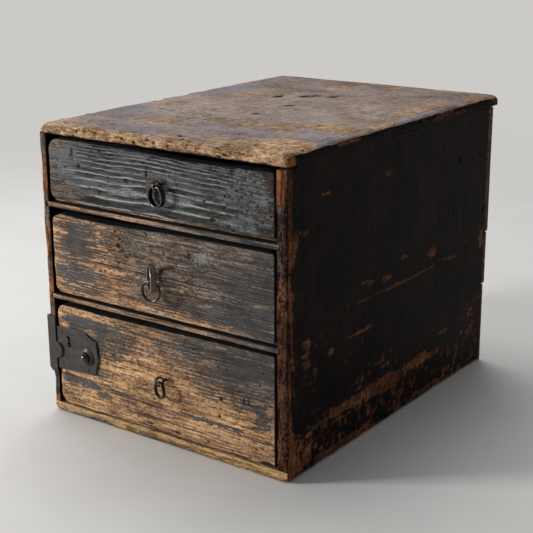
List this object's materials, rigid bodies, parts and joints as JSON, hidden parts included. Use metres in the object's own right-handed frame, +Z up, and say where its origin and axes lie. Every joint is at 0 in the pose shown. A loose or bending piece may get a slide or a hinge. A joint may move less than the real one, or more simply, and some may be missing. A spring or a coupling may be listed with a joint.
{
  "type": "stationery chest",
  "caption": "Small wooden chest of drawers for paper and writing things: finger-jointed case, drawers with iron ring pulls, and a push-button lock on the lowest drawer.",
  "frame": {"origin": "middle of the footprint, on the underside of the bottom board", "axes": "+Z up, -Y towards the drawer fronts, +X to the right as seen from the front"},
  "size_m": [0.2891, 0.4078, 0.2915],
  "materials": {
    "case_wood": "dark lacquer, worn through to bare wood on edges and in patches",
    "front_wood": "weathered softwood with remains of dark lacquer",
    "bare_wood": "bare, aged",
    "peg_wood": "bare, aged",
    "iron": "forged, dark, matt"
  },
  "bodies": {
    "case": {"back_nails": "iron", "bottom_board": "case_wood", "bottom_pegs": "peg_wood", "catch_nails": "iron", "catch_plate": "iron", "left_side": "case_wood", "lower_back_board": "bare_wood", "lower_shelf": "case_wood", "middle_back_board": "bare_wood", "right_side": "case_wood", "top_board": "case_wood", "top_pegs": "peg_wood", "upper_back_board": "bare_wood", "upper_shelf": "case_wood"},
    "bottom_drawer": {"bottom_drawer_back": "bare_wood", "bottom_drawer_bottom": "bare_wood", "bottom_drawer_front": "front_wood", "bottom_drawer_left_side": "bare_wood", "bottom_drawer_pegs": "peg_wood", "bottom_drawer_right_side": "bare_wood", "bottom_pull_staple": "iron", "keyhole_pin": "iron", "lock_bolt_guides": "iron", "lock_collar": "iron", "lock_nails": "iron", "lock_plate": "iron", "lock_spring": "iron"},
    "bottom_ring": {"bottom_pull_ring": "iron"},
    "lock_bolt": {"lock_bolt": "iron"},
    "lock_button": {"lock_button": "iron"},
    "middle_drawer": {"middle_drawer_back": "bare_wood", "middle_drawer_bottom": "bare_wood", "middle_drawer_front": "front_wood", "middle_drawer_left_side": "bare_wood", "middle_drawer_pegs": "peg_wood", "middle_drawer_right_side": "bare_wood", "middle_pull_staple": "iron"},
    "middle_ring": {"middle_pull_ring": "iron"},
    "top_drawer": {"top_drawer_back": "bare_wood", "top_drawer_bottom": "bare_wood", "top_drawer_front": "front_wood", "top_drawer_left_side": "bare_wood", "top_drawer_pegs": "peg_wood", "top_drawer_right_side": "bare_wood", "top_pull_staple": "iron"},
    "top_ring": {"top_pull_ring": "iron"}
  },
  "joints": [
    {"name": "top_drawer_slide", "type": "slide", "parent": "case", "child": "top_drawer", "axis": [0, -1, 0], "range_m": [0, 0.25]},
    {"name": "middle_drawer_slide", "type": "slide", "parent": "case", "child": "middle_drawer", "axis": [0, -1, 0], "range_m": [0, 0.25]},
    {"name": "bottom_drawer_slide", "type": "slide", "parent": "case", "child": "bottom_drawer", "axis": [0, -1, 0], "range_m": [0, 0.25]},
    {"name": "top_ring_swing", "type": "hinge", "parent": "top_drawer", "child": "top_ring", "pos_m": [0.0048, -0.1868, 0.2493], "axis": [-0.981, 0.1942, 0], "range_deg": [0, 170]},
    {"name": "middle_ring_swing", "type": "hinge", "parent": "middle_drawer", "child": "middle_ring", "pos_m": [0.001, -0.1943, 0.163], "axis": [-0.9945, -0.1045, 0], "range_deg": [-22, 13]},
    {"name": "bottom_ring_swing", "type": "hinge", "parent": "bottom_drawer", "child": "bottom_ring", "pos_m": [0.0033, -0.1894, 0.0651], "axis": [-0.9415, 0.3371, 0], "range_deg": [-15, 170]},
    {"name": "lock_bolt_slide", "type": "slide", "parent": "bottom_drawer", "child": "lock_bolt", "axis": [-1, 0, 0], "range_m": [0, 0.0042]},
    {"name": "lock_button_push", "type": "slide", "parent": "bottom_drawer", "child": "lock_button", "axis": [0, 1, 0], "range_m": [0, 0.0042]}
  ],
  "couplings": [
    {"joint": "lock_button_push", "follows": "lock_bolt_slide", "ratio": 1}
  ]
}
